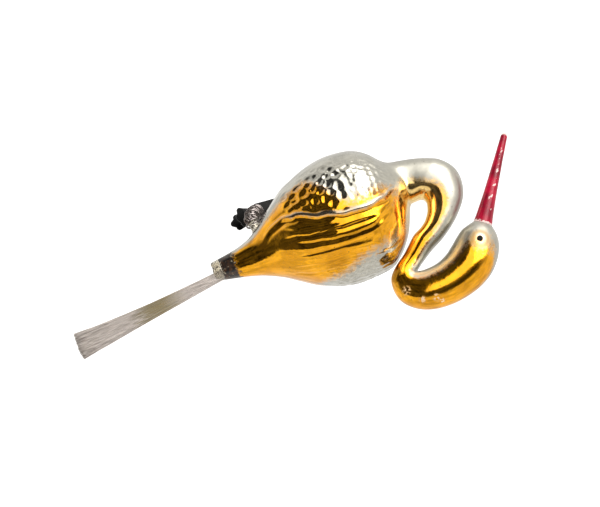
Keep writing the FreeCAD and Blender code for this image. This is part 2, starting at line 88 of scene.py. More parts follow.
def smooth(low, high, value):
    """0 below low, 1 above high, and a soft step between."""
    share = min(max((value - low) / (high - low), 0.0), 1.0)
    return share * share * (3 - 2 * share)


def finish_piece(bm, name, body, material, replaces=()):
    """Move a piece modelled in the bird's millimetres into the frame, and let it ride on a body."""
    bmesh.ops.recalc_face_normals(bm, faces=bm.faces)
    bmesh.ops.transform(bm, matrix=to_frame, verts=bm.verts)
    mesh = bpy.data.meshes.new(name)
    bm.to_mesh(mesh)
    bm.free()
    for polygon in mesh.polygons:
        polygon.use_smooth = True
    piece = bpy.data.objects.new(name, mesh)
    bpy.context.scene.collection.objects.link(piece)
    mesh.materials.append(material)
    if body:
        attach(piece, body)
    if replaces:
        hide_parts(*replaces)
    print(name, "has", len(mesh.vertices), "points and", len(mesh.polygons), "faces")
    return piece


# %% [markdown]
# ## Colours and nodes
# Colours are picked as sRGB hex values, as a paint chart gives them, and Blender calculates in linear
# light, so one function turns one into the other.  Another adds a shader node with its settings and links.
# Its inputs are given in order, or by name or number.  A MapRange node takes a value, the range it comes
# from and the range it goes to; a Mix node for colours takes a factor, and its colours are inputs 6 and 7.

# %% Colour and node helpers
def colour(code):
    """An sRGB hex colour as linear RGBA."""
    parts = [int(code[i:i + 2], 16) / 255 for i in (1, 3, 5)]
    return tuple(p / 12.92 if p <= 0.04045 else ((p + 0.055) / 1.055) ** 2.4 for p in parts) + (1.0,)


def fill(node, inputs):
    """Set a node's inputs to values or hex colours, or link them to sockets."""
    for key, value in inputs.items() if isinstance(inputs, dict) else enumerate(inputs):
        if isinstance(value, bpy.types.NodeSocket):
            node.id_data.links.new(value, node.inputs[key])
        else:
            node.inputs[key].default_value = colour(value) if isinstance(value, str) else value


def add(tree, kind, inputs=(), output=None, **settings):
    """Add a node with its settings and links, and give back its first live output, or a named one."""
    made = tree.nodes.new("ShaderNode" + kind)
    for key, value in settings.items():
        setattr(made, key, value)
    fill(made, inputs)
    if output:
        return made.outputs[output]
    return next((socket for socket in made.outputs if socket.enabled), None)


def new_material(name):
    """A material, a way to add its nodes, its shader, and coordinates in the bird's millimetres."""
    material = bpy.data.materials.new(name)
    material.use_nodes = True
    tree = material.node_tree
    place = add(tree, "TexCoord", output="Object")
    bird_mm = add(tree, "Mapping", {"Vector": place, "Location": tuple(-TUBE), "Scale": (1 / MM,) * 3})
    return material, partial(add, tree), tree.nodes["Principled BSDF"], bird_mm


# %% [markdown]
# ## The glass, as one drawn tube
# The body, neck and head are one piece of glass, and it was one tube all along.  Spheres and cylinders
# joined by booleans would leave seams that a mirror finish shows at once.  Instead one circle is extruded
# ring by ring along the tube's bent middle line, getting wider and narrower as the glassblower's breath
# made it.
# Each row below is a ring: X, Z and radius in millimetres, and the tube's direction in degrees.

# %% The tube's rings
RINGS = [
    (-1.0, 0.1, 3.5, 0), (3.3, 0.3, 4.3, 0), (7.0, 0.4, 5.2, 0), (11.1, 0.3, 6.7, 0), (16.4, -0.4, 10.0, 0),
    (20.5, -0.5, 12.9, 0), (25.1, -0.6, 16.1, 0), (29.2, -0.5, 18.0, 0), (33.2, -0.5, 19.5, 0),
    (37.9, -0.6, 20.5, 0), (42.3, -0.75, 20.7, 0), (47.1, -0.7, 20.3, 0), (50.2, -0.7, 19.5, 0),
    (53.1, -1.0, 17.7, 0), (55.6, -1.2, 15.4, 0), (57.8, -1.3, 12.7, 0), (59.6, -2.3, 10.4, 0),
    (61.0, -3.8, 8.5, 0), (62.2, -4.8, 7.3, 3), (65.6, -4.3, 7.0, 20), (69.9, -3.0, 7.2, 45),
    (72.7, 0.1, 7.1, 70), (72.7, 4.5, 6.1, 95), (70.2, 8.7, 4.85, 120), (66.8, 12.1, 4.1, 140),
    (64.4, 13.8, 3.9, 147), (60.9, 15.6, 3.85, 148), (57.8, 18.0, 3.5, 147), (55.5, 19.8, 3.3, 142),
    (53.2, 21.6, 3.6, 120), (51.7, 23.7, 4.5, 90), (52.1, 27.35, 5.5, 50), (55.8, 29.9, 6.3, 22),
    (62.1, 30.5, 6.85, 3), (68.1, 29.2, 7.3, -18), (72.8, 26.6, 7.6, -32), (76.0, 23.6, 7.2, -42),
    (78.1, 20.9, 6.3, -48), (79.4, 18.9, 4.9, -53), (80.4, 17.2, 3.2, -55),
]
TUBE_RINGS = 350
TUBE_SIDES = 256


def station_steps():
    """How far along the surface each ring of the table is, in millimetres."""
    steps = [0.0]
    for here, there in zip(RINGS, RINGS[1:]):
        steps.append(steps[-1] + math.dist(here[:3], there[:3]))
    return steps


STEPS = station_steps()


def ring_at(distance):
    """X, Z, radius and direction at a distance along the tube, on smooth curves through the table."""
    last = len(RINGS) - 1
    i = max(k for k in range(last) if STEPS[k] <= distance)
    span = STEPS[i + 1] - STEPS[i]
    share = (distance - STEPS[i]) / span

    def slope(k, column):
        before, after = max(k - 1, 0), min(k + 1, last)
        return (RINGS[after][column] - RINGS[before][column]) / (STEPS[after] - STEPS[before])

    values = []
    for column in range(4):
        a, b = RINGS[i][column], RINGS[i + 1][column]
        ta, tb = slope(i, column) * span, slope(i + 1, column) * span
        bend, twist = 3 * (b - a) - 2 * ta - tb, 2 * (a - b) + ta + tb
        values.append(a + share * ta + share ** 2 * bend + share ** 3 * twist)
    return values


def ring_matrix(x, z, radius, direction):
    """A ring's place and size: its X axis to the bird's left, its Y axis to the back of the tube."""
    turn = math.radians(direction)
    left = Vector((0, 1, 0)) * radius
    up = Vector((-math.sin(turn), 0, math.cos(turn))) * radius
    forward = Vector((math.cos(turn), 0, math.sin(turn)))
    matrix = Matrix((left, up, forward)).transposed().to_4x4()
    matrix.translation = (x, 0, z)
    return matrix


def next_ring(bm, edges):
    """Extrude a set of edges, and give back the new points and edges."""
    made = bmesh.ops.extrude_edge_only(bm, edges=edges)["geom"]
    ring = [g for g in made if isinstance(g, bmesh.types.BMVert)]
    kept = set(ring)
    return ring, [g for g in made if isinstance(g, bmesh.types.BMEdge) and kept.issuperset(g.verts)]


def draw_tube(matrices, sides, masks=()):
    """Extrude a circle through the rings' places, with room for masks; give back the mesh and its rings."""
    bm = bmesh.new()
    for mask in masks:
        bm.verts.layers.float.new(mask)
    rings = []
    before = None
    for matrix in matrices:
        if before is None:
            bmesh.ops.create_circle(bm, segments=sides, radius=1.0, matrix=matrix)
            ring, edges = list(bm.verts), list(bm.edges)
        else:
            ring, edges = next_ring(bm, edges)
            bmesh.ops.transform(bm, matrix=matrix @ before.inverted(), verts=ring)
        rings.append(ring)
        before = matrix
    return bm, rings


LOOKS = ("gold", "worn", "eye_ring", "bloom")
JUST_SHORT = 0.99999
stations = [ring_at(STEPS[-1] * i / (TUBE_RINGS - 1) * JUST_SHORT) for i in range(TUBE_RINGS)]
places = [ring_matrix(*station) for station in stations]
bird_mesh, bird_rings = draw_tube(places, TUBE_SIDES, ("round", "along") + LOOKS)
print("drawn tube:", len(bird_mesh.verts), "points along", round(STEPS[-1]), "mm of surface")

# %% [markdown]
# ## Where a point is on the bird
# The relief follows the bird, so each point needs two readings: how far along the tube it is, and how far
# round, in degrees from the back (0) over the side (90) to the belly (180).  Both sides were pressed from
# the same half moulds, so left and right share the reading.

# %% Read each point's place round the tube
def degrees_round(point, station):
    """Degrees from the back of the tube, the same on both sides."""
    x, z, _, direction = station
    turn = math.radians(direction)
    up = (point.x - x) * -math.sin(turn) + (point.z - z) * math.cos(turn)
    return math.degrees(math.atan2(abs(point.y), up))


def line_at(table, x):
    """Read a line given as (X, degrees) pairs, with soft steps between them."""
    if x <= table[0][0]:
        return table[0][1]
    for (xa, ya), (xb, yb) in zip(table, table[1:]):
        if x <= xb:
            return ya + (yb - ya) * smooth(xa, xb, x)
    return table[-1][1]


# Lines pressed into the side, from the tail to the breast, as X in millimetres and degrees round.
WING_EDGE = [
    (13, 98), (18, 106), (22, 105), (26, 99), (34, 87), (42, 80), (48, 79), (54, 81), (58, 89), (61, 97),
]
WING_FOOT = [(12, 46), (19, 34), (28, 39), (37, 41), (45, 37), (53, 26), (58, 10)]
BACK_EDGE = [(17, 12), (22, 24), (31, 30), (41, 32), (50, 30), (57, 20)]
# Each feather's groove: its line, where it starts and ends, its depth and its width in millimetres.
GROOVES = [
    ([(20, 91), (26, 81), (36, 75), (42, 73)], 21, 40, 0.19, 0.69),
    ([(20, 79), (23, 77), (29, 72), (35, 70), (40, 68), (47, 67), (52, 66)], 21, 50, 0.22, 0.62),
    ([(22, 68), (30, 64), (36, 61), (42, 59), (47, 59), (53, 64), (58, 69)], 25, 56, 0.17, 0.75),
    ([(16, 60), (24, 54), (32, 54), (40, 53), (47, 52), (53, 54), (58, 57)], 17, 55, 0.14, 1.00),
    ([(12, 56), (17, 47), (23, 47), (36, 49), (45, 44), (55, 26), (58, 8)], 20, 57, 0.14, 0.50),
    ([(12, 53), (17, 44), (23, 44), (36, 46), (45, 41), (55, 22), (58, 5)], 26, 57, 0.12, 0.50),
    (WING_FOOT, 22, 56, 0.17, 0.56),
    ([(22, 30), (30, 35), (37, 37), (45, 33), (52, 22)], 24, 50, 0.11, 0.56),
]


# %% [markdown]
# ## Pressed relief: dimples, feathers and a bent neck
# The mould's relief is real shape, so it is pushed into the points and not painted on: a mirror shows every
# hollow by bending what it reflects.  A crease follows a line, and dimples are round hollows about
# scattered centres.  A k-d tree finds the nearest centre to a point without trying them all.

# %% Relief in the glass
def crease(angle, middle, width, radius):
    """1 on a line and 0 away from it; the width is in millimetres of glass."""
    off = math.radians(angle - middle) * radius / width
    return math.exp(-off * off)


# Places on the side are X and an arc's length, both in millimetres, on a cylinder of the body's rough size.
ARC_RADIUS = 19.0
ROW_STEP = 0.87
JITTER = 0.6


def dimple_centres(x_low, x_high, pitch, stretch, seed):
    """Staggered rows of centres over the side, each moved a little off its place."""
    rows = int((x_high - x_low) / (pitch * stretch * ROW_STEP)) + 1
    columns = int(math.pi * ARC_RADIUS / pitch)
    tree = KDTree(rows * columns)
    for row in range(rows):
        for column in range(columns):
            place = Vector((row * 1.37 + seed, column * 2.11, seed))
            other = place + Vector((0, 0, 50.3))
            x = x_low / stretch + (row * ROW_STEP + JITTER * noise.noise(place)) * pitch
            arc = (column + 0.5 * (row % 2) + JITTER * noise.noise(other)) * pitch
            tree.insert(Vector((x, arc, 0)), row * columns + column)
    tree.balance()
    return tree


def dimple(tree, x, angle, size, stretch=1.0):
    """How deep a round hollow is here: 1 in its middle and 0 from its rim outwards."""
    _, index, off = tree.find(Vector((x / stretch, math.radians(angle) * ARC_RADIUS, 0)))
    reach = size * (0.46 + 0.06 * math.sin(index * 2.4))
    return max(0.0, 1 - (off / reach) ** 2) ** 0.8


# Sizes and depths of the dimples in millimetres: coarse on the flank, finer on the breast and by the back.
FLANK_SIZE, FLANK_DEPTH = 3.2, 0.55
BREAST_SIZE, BREAST_DEPTH = 2.1, 0.26
BACK_SIZE, BACK_DEPTH, BACK_STRETCH = 2.2, 0.28, 1.5
flank_dimples = dimple_centres(20, 62, FLANK_SIZE, 1.0, 3.0)
breast_dimples = dimple_centres(38, 62, BREAST_SIZE, 1.0, 8.0)
back_dimples = dimple_centres(22, 60, BACK_SIZE, BACK_STRETCH, 5.0)


def feather_relief(x, angle, radius):
    """Each groove between feathers, with a soft roll beside it."""
    height = 0.0
    for line, start, end, depth, width in GROOVES:
        present = smooth(start - 3, start + 3, x) * (1 - smooth(end - 4, end + 2, x))
        if present > 0:
            place = line_at(line, x)
            beside = place + math.degrees(1.5 * width / radius)
            height -= present * depth * crease(angle, place, width, radius)
            height += present * depth * 0.8 * crease(angle, beside, width * 1.3, radius)
    return height


def body_relief(x, angle, radius):
    """The height of the pressed relief on the body, in millimetres."""
    along = smooth(12, 24, x) * (1 - smooth(57, 61, x))
    if along <= 0:
        return 0.0
    edge, foot = line_at(WING_EDGE, x), line_at(WING_FOOT, x)
    # The wing's edge is a ridge between two hollows, 1.8 mm and 1.6 mm from it.
    height = 0.55 * crease(angle, edge, 0.75, radius)
    height -= 0.45 * crease(angle, edge - math.degrees(1.8 / radius), 0.8, radius)
    height -= 0.22 * crease(angle, edge + math.degrees(1.6 / radius), 0.7, radius)
    height += feather_relief(x, angle, radius)
    flank = smooth(edge + 4, edge + 9, angle) * (1 - smooth(124, 140, angle)) * smooth(22, 27, x)
    breast = smooth(42, 47, x)
    height -= flank * (1 - breast) * FLANK_DEPTH * dimple(flank_dimples, x, angle, FLANK_SIZE)
    height -= flank * breast * BREAST_DEPTH * dimple(breast_dimples, x, angle, BREAST_SIZE)
    # The relief by the back fades out towards the neck.
    fading = 1 - smooth(50, 58, x)
    back = (1 - smooth(foot - 10, foot - 4, angle)) * smooth(-4, 8, angle) * smooth(26, 34, x) * fading
    height -= back * BACK_DEPTH * dimple(back_dimples, x, angle, BACK_SIZE, BACK_STRETCH)
    height -= 0.2 * crease(angle, line_at(BACK_EDGE, x), 0.5, radius) * smooth(17, 24, x) * fading
    return height * along


PINCH = Vector((62.4, 0, 2.6))


def neck_relief(point, angle, distance):
    """Where the neck was folded back, the soft glass gathered into folds that fan out from the pinch."""
    off = Vector((point.x, 0, point.z)) - PINCH
    present = smooth(STEPS[14], STEPS[17], distance) * (1 - smooth(STEPS[20], STEPS[22], distance))
    if present <= 0 or off.length > 14:
        return 0.0
    fan = math.atan2(off.z, off.x)
    fold = math.cos(fan * 3 + 1.2) * math.exp(-((off.length - 6.0) / 3.0) ** 2)
    return 0.30 * fold * present * smooth(30, 60, angle)


def limb_oval(angle, distance):
    """Bending flattened the neck's straight limb a little, on a slant."""
    present = smooth(STEPS[22], STEPS[24], distance) * (1 - smooth(STEPS[28], STEPS[30], distance))
    return 0.26 * present * math.cos(math.radians(2 * (angle - 120)))


def hand_blown(point, distance):
    """The slow, slight unevenness of hand-worked glass."""
    here = Vector((point.x, abs(point.y), point.z))
    amount = 0.06 + 0.05 * smooth(STEPS[17], STEPS[20], distance)
    return amount * noise.noise(here / 9.0) + 0.012 * noise.noise(here / 3.5)


bird_mesh.normal_update()
bmesh.ops.recalc_face_normals(bird_mesh, faces=bird_mesh.faces)
moves = []
# Where the neck leaves the body the rings turn quickly, so that stretch is relaxed first.
distances = [STEPS[-1] * i / (TUBE_RINGS - 1) for i in range(TUBE_RINGS)]
root = [v for at, ring in zip(distances, bird_rings) if STEPS[14] < at < STEPS[20] for v in ring]
for _ in range(40):
    bmesh.ops.smooth_vert(
        bird_mesh, verts=root, factor=0.5, use_axis_x=True, use_axis_y=True, use_axis_z=True
    )
bird_mesh.normal_update()
masks = bird_mesh.verts.layers.float
around_layer, along_layer = masks["round"], masks["along"]
for station, distance, ring in zip(stations, distances, bird_rings):
    on_body = 1 - smooth(STEPS[13], STEPS[17], distance)
    for v in ring:
        angle = degrees_round(v.co, station)
        v[around_layer], v[along_layer] = angle, distance
        height = hand_blown(v.co, distance) * smooth(0, 12, distance)
        if on_body > 0:
            height += body_relief(station[0], angle, station[2]) * on_body
        height += neck_relief(v.co, angle, distance) + limb_oval(angle, distance)
        moves.append((v, v.normal * height))
for v, move in moves:
    v.co += move
print("deepest push:", round(max(m.length for _, m in moves), 2), "mm")

# %% [markdown]
# ## Closing the tube
# The tail end is closed by a disc where the glue sits, and the head end closes under the beak's root.
# Each is one filled ring, poked in the middle so that it becomes a fan of triangles and not one huge face.

# %% Close both ends
def close_ring(bm, ring, name):
    """Close an open ring with a fan of triangles."""
    kept = set(ring)
    rim = [e for e in bm.edges if e.is_boundary and e.verts[0] in kept and e.verts[1] in kept]
    face = bmesh.ops.contextual_create(bm, geom=rim)["faces"][0]
    bmesh.ops.poke(bm, faces=[face])
    print("closed", name)


close_ring(bird_mesh, bird_rings[0], "the tail end")
close_ring(bird_mesh, bird_rings[-1], "the beak's root")

# %% [markdown]
# ## Masks that follow the glass
# The lacquer was sprayed from the side, so it is full on the flanks and fades out towards the belly and the
# back, and it is worn where the bird was handled.  These masks are stored in the points, because they follow
# the bent tube and no straight projection could.

# %% Masks for lacquer, wear and the eye's ring
EYE = Vector((77.4, 0, 22.7))
EYE_RING_RADIUS, EYE_RING_WIDTH = 2.5, 0.8
# Where the lacquer is worn: X, Z and size in millimetres.
WORN_SPOTS = [(50.4, 29.2, 1.9), (54.0, 33.6, 1.2), (58.2, 34.6, 1.4), (70.9, 15.4, 0.9), (59.5, 36.0, 1.1)]


def body_lacquer(x, angle):
    """How much lacquer is on the body: least by the back, on the belly and along the wing's edge."""
    low = 14 + 24 * smooth(26, 46, x) - 75 * (1 - smooth(15, 30, x))
    high = 128 - 40 * smooth(31, 44, x) + 4 * smooth(48, 56, x)
    share = smooth(low - 14, low + 14, angle) * (1 - smooth(high - 12, high + 14, angle))
    wing_edge = crease(angle, line_at(WING_EDGE, x), 0.7, 17.0)
    share *= 1 - 0.75 * wing_edge * smooth(20, 26, x) * (1 - smooth(57, 61, x))
    return share


def neck_lacquer(angle, distance):
    """On the neck the lacquer reaches from the inner side of the bend to a limit that varies along it."""
    root = smooth(STEPS[16], STEPS[17], distance) * (1 - smooth(STEPS[18], STEPS[20], distance))
    limit = 70 + 14 * root + 38 * smooth(STEPS[20], STEPS[23], distance)
    limit += 14 * smooth(STEPS[24], STEPS[27], distance)
    return 1 - smooth(limit - 24, limit + 24, angle)


def head_lacquer(angle, distance):
    """On the head the sides are lacquered, and it fades towards the beak."""
    low = 30 * smooth(STEPS[31], STEPS[34], distance) - 30 + 34 * smooth(STEPS[34], STEPS[37], distance)
    share = smooth(low - 16, low + 16, angle) * (1 - smooth(98, 128, angle))
    return share * (1 - 0.9 * smooth(STEPS[35], STEPS[38], distance))


def lacquer(x, angle, distance):
    """1 under full gold lacquer and 0 on bare silvering."""
    body, neck, head = body_lacquer(x, angle), neck_lacquer(angle, distance), head_lacquer(angle, distance)
    to_neck, to_head = smooth(STEPS[12], STEPS[19], distance), smooth(STEPS[29], STEPS[32], distance)
    return (body * (1 - to_neck) + neck * to_neck) * (1 - to_head) + head * to_head


def worn(flat):
    """1 in the middle of a worn spot and 0 outside them all."""
    return max(1 - smooth(0.3 * size, size, (flat - Vector((x, 0, z))).length) for x, z, size in WORN_SPOTS)


gold_layer, worn_layer, ring_layer, bloom_layer = (masks[look] for look in LOOKS)
for v in bird_mesh.verts:
    v[gold_layer] = lacquer(v.co.x, v[around_layer], v[along_layer])
    flat = Vector((v.co.x, 0, v.co.z))
    v[worn_layer] = worn(flat)
    v[ring_layer] = math.exp(-(((flat - EYE).length - EYE_RING_RADIUS) / EYE_RING_WIDTH) ** 2)
    v[bloom_layer] = smooth(STEPS[10], STEPS[15], v[along_layer])
print("masks stored for", len(bird_mesh.verts), "points")

# %% [markdown]
# ## Silvered glass under gold lacquer
# Silver nitrate leaves a true mirror inside the glass, so the shader is a metal with a clear coat for the
# glass's own gloss.  The gold is a thin transparent lacquer: where it reflects a dark room it looks brown,
# and where it reflects a window it burns out to pale yellow, all from one colour.  Age adds mottling,
# tarnish specks and worn spots, in sizes from a tenth of a millimetre to a few millimetres.

# %% The bird's glass
def glue_under_glass(node, mottle, flake_noise):
    """The glue seen through the glass: nearly black, brown where thin, with flecks of loose silvering."""
    brown = node("MapRange", (mottle, 0.45, 0.6))
    glue = node("Mix", {0: brown, 6: "#0D0602", 7: "#3B220B"}, data_type="RGBA")
    fleck = node("MapRange", (flake_noise, 0.60, 0.66))
    return node("Mix", {0: fleck, 6: glue, 7: "#877C66"}, data_type="RGBA")


def silvered_glass():
    """Glass silvered inside and lacquered outside: a mirror in two colours, under a clear gloss."""
    material, node, shader, bird_mm = new_material("silvered_glass_with_gold_lacquer")
    gold_mask, worn_mask, ring_mask, bloom = (
        node("Attribute", output="Fac", attribute_name=look) for look in LOOKS
    )
    # Lacquer thins out in mottles about 1 mm across and clouds about 6 mm across.
    mottle = node("TexNoise", {"Vector": bird_mm, "Scale": 1 / 1.1, "Detail": 4.0, "Roughness": 0.6})
    cloud = node("TexNoise", {"Vector": bird_mm, "Scale": 1 / 6.0, "Detail": 2.0})
    uneven = node("MapRange", (mottle, 0.3, 0.7, -0.22, 0.22))
    ragged = node("Math", (gold_mask, uneven), operation="ADD")
    gold = node("MapRange", (ragged, 0.18, 0.85))
    silver = node("Mix", {0: mottle, 6: "#ABA89C", 7: "#CCC8BC"}, data_type="RGBA")
    thick = node("MapRange", (cloud, 0.35, 0.65))
    lacquered = node("Mix", {0: thick, 6: "#FBB016", 7: "#E39A0E"}, data_type="RGBA")
    # The folds at the pinch mirror one another again and again, so a paler colour is mixed in near the
    # pinch: a painted reflection of those folds, not paler lacquer.
    to_pinch = node("VectorMath", (bird_mm, PINCH), operation="DISTANCE")
    painted_reflection_share = node("MapRange", (to_pinch, 8.0, 14.0, 0.7, 0.0))
    lacquered = node("Mix", {0: painted_reflection_share, 6: lacquered, 7: "#F5DC98"}, data_type="RGBA")
    base = node("Mix", {0: gold, 6: silver, 7: lacquered}, data_type="RGBA")
    # Tarnish shows as specks about 0.4 mm across, a few millimetres apart.
    to_speck = node("TexVoronoi", {"Vector": bird_mm, "Scale": 1 / 2.3})
    speck = node("MapRange", (to_speck, 0.05, 0.11, 0.75, 0.0))
    # Where lacquer has flaked, the pale glass and silvering show in patches with hard edges.
    flake_noise = node("TexNoise", {"Vector": bird_mm, "Scale": 1 / 0.9, "Detail": 5.0})
    flaked = node("MapRange", (flake_noise, 0.47, 0.53))
    flake = node("Math", (worn_mask, flaked), operation="MULTIPLY")
    flake_share = node("MapRange", (flake, 0.0, 1.0, 0.0, 0.6))
    ring_share = node("MapRange", (ring_mask, 0.0, 1.0, 0.0, 0.8))
    for share, over in ((speck, "#5B4726"), (flake_share, "#D9CDBB"), (ring_share, "#B08D52")):
        base = node("Mix", {0: share, 6: base, 7: over}, data_type="RGBA")
    # Near the tail the glue's dark band shows through, with a ragged edge.
    x_place = node("SeparateXYZ", (bird_mm,), output="X")
    ragged_x = node("MapRange", (mottle, 0.3, 0.7, -0.9, 0.9))
    edge = node("Math", (x_place, ragged_x), operation="ADD")
    glued = node("MapRange", (edge, 3.7, 4.5, 1.0, 0.0))
    glue = glue_under_glass(node, mottle, flake_noise)
    base = node("Mix", {0: glued, 6: base, 7: glue}, data_type="RGBA")
    # Glue, flakes and the painted ring are not mirrors.
    dull_ring = node("MapRange", (ring_mask, 0.0, 1.0, 0.0, 0.6))
    dull = node("Math", (glued, dull_ring), operation="MAXIMUM")
    dull = node("Math", (dull, flake), operation="MAXIMUM")
    mirror = node("MapRange", (dull, 0.0, 1.0, 1.0, 0.0))
    # Under lacquer the silvering has stayed bright; bare, it has bloomed softer, most on the neck and head.
    bare = node("MapRange", (bloom, 0.0, 1.0, 0.15, 0.40))
    covered = node("MapRange", (bloom, 0.0, 1.0, 0.07, 0.13))
    soft = node("Mix", {0: gold, 2: bare, 3: covered}, data_type="FLOAT")
    dull_rough = node("MapRange", (dull, 0.0, 1.0, 0.0, 0.3))
    rough = node("Math", (soft, dull_rough), operation="ADD")
    # Mould-blown glass has a faint skin of ripples, 1.6 mm apart and a few hundredths of a millimetre deep.
    ripple = node("TexNoise", {"Vector": bird_mm, "Scale": 1 / 1.6, "Detail": 3.0})
    skin = node("Bump", {"Height": ripple, "Distance": 0.12 * MM, "Strength": 0.35})
    fill(shader, {"Base Color": base, "Metallic": mirror, "Roughness": rough, "Normal": skin})
    fill(shader, {"Coat Weight": 0.35, "Coat Roughness": 0.03})
    return material


mirror_glass = silvered_glass()
finish_piece(bird_mesh, "silvered_bird", "bird", mirror_glass, replaces=["glass_bird"])

# %% [markdown]
# ## The open tail tube
# Behind the silvering the tube is bare glass, snapped off and never fire polished.  It is a short length of
# the same tube with a real wall, and its edge is broken unevenly.  Solidify gives a wall of even
# thickness, as drawn tube has.

# %% The broken glass rim
def clear_glass(name):
    """Soda glass: colourless with a warm tinge, slightly scratched, with flecks of silvering left on it."""
    material, node, shader, bird_mm = new_material(name)
    grain = node("TexNoise", {"Vector": bird_mm, "Scale": 1 / 0.5, "Detail": 4.0})
    fleck = node("MapRange", (grain, 0.56, 0.60))
    base = node("Mix", {0: fleck, 6: "#E6DFCF", 7: "#A89F8C"}, data_type="RGBA")
    rough = node("MapRange", (grain, 0.3, 0.7, 0.04, 0.25))
    fill(shader, {"Base Color": base, "Metallic": fleck, "Roughness": rough})
    fill(shader, {"Transmission Weight": 0.9, "IOR": 1.5})
    return material


RIM_STEPS = 12
rim_stations = [
    (-4.0 + 3.0 * i / RIM_STEPS, 0.02 * i / 3, 3.05 + 0.45 * i / RIM_STEPS, 0) for i in range(RIM_STEPS + 1)
]
rim_mesh, rim_rings = draw_tube([ring_matrix(*station) for station in rim_stations], 72)
for v in rim_rings[0] + rim_rings[1]:
    turn = math.atan2(v.co.z, v.co.y)
    v.co.x += 0.25 + 0.35 * noise.noise(Vector((math.cos(turn) * 3, math.sin(turn) * 3, 0.4)))
bare_glass = clear_glass("bare_soda_glass")
clear_rim = finish_piece(rim_mesh, "clear_tail_rim", "bird", bare_glass)
wall = clear_rim.modifiers.new("wall", "SOLIDIFY")
wall.thickness, wall.offset = 0.5 * MM, -1

# %% [markdown]
# ## The beak
# The beak is the drawn-out end of the tube, dipped in red lacquer and chipped since.  It is extruded from a
# circle in short steps with a rounded tip, and its chips are shallow hollows in the lacquer.

# %% Beak and its lacquer
BEAK_ROOT = Vector((80.4, 0, 17.2))
BEAK_DIRECTION = -55.0
BEAK_LENGTH = 31.0
# Chips along the beak: how far from the root, how far round in degrees, and their size, in millimetres.
CHIPS = [
    (25.3, 80, 0.35), (24.3, 70, 0.5), (23.4, 88, 0.3), (21.9, 76, 0.25), (20.0, 70, 0.35),
    (18.0, 64, 0.65), (17.2, 72, 0.4), (15.4, 60, 0.25), (13.9, 80, 0.3), (13.1, 62, 0.6),
    (12.5, 74, 0.3), (9.6, 66, 0.45), (8.9, 74, 0.6), (8.2, 84, 0.4), (5.0, 50, 0.25),
]
CHIP_DEPTH = 0.10
BEAK_STEPS = 63


def beak_stations():
    """Rings from the root to the rounded tip, each a little uneven, as glass pulled by hand is."""
    turn = math.radians(BEAK_DIRECTION)
    made = []
    for i in range(BEAK_STEPS + 1):
        share = i / BEAK_STEPS
        reach = BEAK_LENGTH * (1 - (1 - share) ** 1.15)
        radius = 3.2 - 2.2 * (reach / BEAK_LENGTH) ** 0.62
        rounding = min(max((BEAK_LENGTH - reach) / 1.1, 0.0), 1.0)
        radius *= 0.12 + 0.88 * math.sqrt(1 - (1 - rounding) ** 2)
        radius += 0.05 * noise.noise(Vector((reach / 4.0, 2.0, 0.0)))
        x, z = BEAK_ROOT.x + reach * math.cos(turn), BEAK_ROOT.z + reach * math.sin(turn)
        made.append((x, z, max(radius, 0.1), BEAK_DIRECTION))
    return made


def chipped(reach, angle, radius):
    """1 where the lacquer is off: in the middle of a chip, at the root and at the tip."""
    chip = max(1 - smooth(0.3, 1.0, reach), smooth(BEAK_LENGTH - 1.4, BEAK_LENGTH - 0.6, reach))
    for at, turned, size in CHIPS:
        off = math.hypot(reach - at, math.radians(angle - turned) * radius)
        chip = max(chip, 1 - smooth(0.35 * size, size, off))
    return chip


beak_places = beak_stations()
beak_mesh, beak_rings = draw_tube([ring_matrix(*place) for place in beak_places], 56, ("chip",))
close_ring(beak_mesh, beak_rings[0], "the beak's root")
close_ring(beak_mesh, beak_rings[-1], "the beak's tip")
bmesh.ops.recalc_face_normals(beak_mesh, faces=beak_mesh.faces)
beak_mesh.normal_update()
chip_layer = beak_mesh.verts.layers.float["chip"]
for station, ring in zip(beak_places, beak_rings):
    reach = math.dist((station[0], station[1]), (BEAK_ROOT.x, BEAK_ROOT.z))
    for v in ring:
        chip = chipped(reach, degrees_round(v.co, station), station[2])
        v[chip_layer] = chip
        v.co -= v.normal * CHIP_DEPTH * chip


def red_lacquer():
    """Glossy dipped lacquer, deep crimson, with the pale glass bare where it has chipped off."""
    material, node, shader, bird_mm = new_material("dipped_red_lacquer")
    chip = node("Attribute", output="Fac", attribute_name="chip")
    grain = node("TexNoise", {"Vector": bird_mm, "Scale": 1 / 0.45, "Detail": 4.0})
    streak = node("TexNoise", {"Vector": bird_mm, "Scale": 1 / 3.5, "Detail": 2.0})
    deep = node("MapRange", (streak, 0.35, 0.65))
    red = node("Mix", {0: deep, 6: "#B00A30", 7: "#7C0420"}, data_type="RGBA")
    ragged = node("MapRange", (grain, 0.35, 0.65, -0.45, 0.35))
    broken = node("Math", (chip, ragged), operation="ADD")
    bare = node("MapRange", (broken, 0.42, 0.56))
    base = node("Mix", {0: bare, 6: red, 7: "#E3CFC8"}, data_type="RGBA")
    rough = node("MapRange", (bare, 0.0, 1.0, 0.18, 0.4))
    sag = node("Bump", {"Height": streak, "Distance": 0.2 * MM, "Strength": 0.5})
    fill(shader, {"Base Color": base, "Roughness": rough, "Specular IOR Level": 0.35, "Normal": sag})
    return material


finish_piece(beak_mesh, "red_beak", "bird", red_lacquer(), replaces=["beak"])

# %% [markdown]
# ## The spun-glass tail
# The tail is a brush of hundreds of glass fibres, each finer than a hair, cut off square and tinted with a
# brown dye in patches.  Real fibres are about 0.05 mm thick, too fine to show, so these are three times as
# thick.  Every fibre starts as a triangle, and all the triangles are extruded together from one station to
# the next, so a fibre has few faces and the whole brush takes a handful of steps.

# %% Brush fibres
FIBRES = 620
FIBRE_RADIUS = 0.085
GOLDEN_ANGLE = math.radians(137.508)
STATION_REACH = (-1.2, 2.0, 8.0, 16.0, 24.0, 32.0, 40.0, 48.0, 49.6)
BRUSH_RIM_X = -2.4


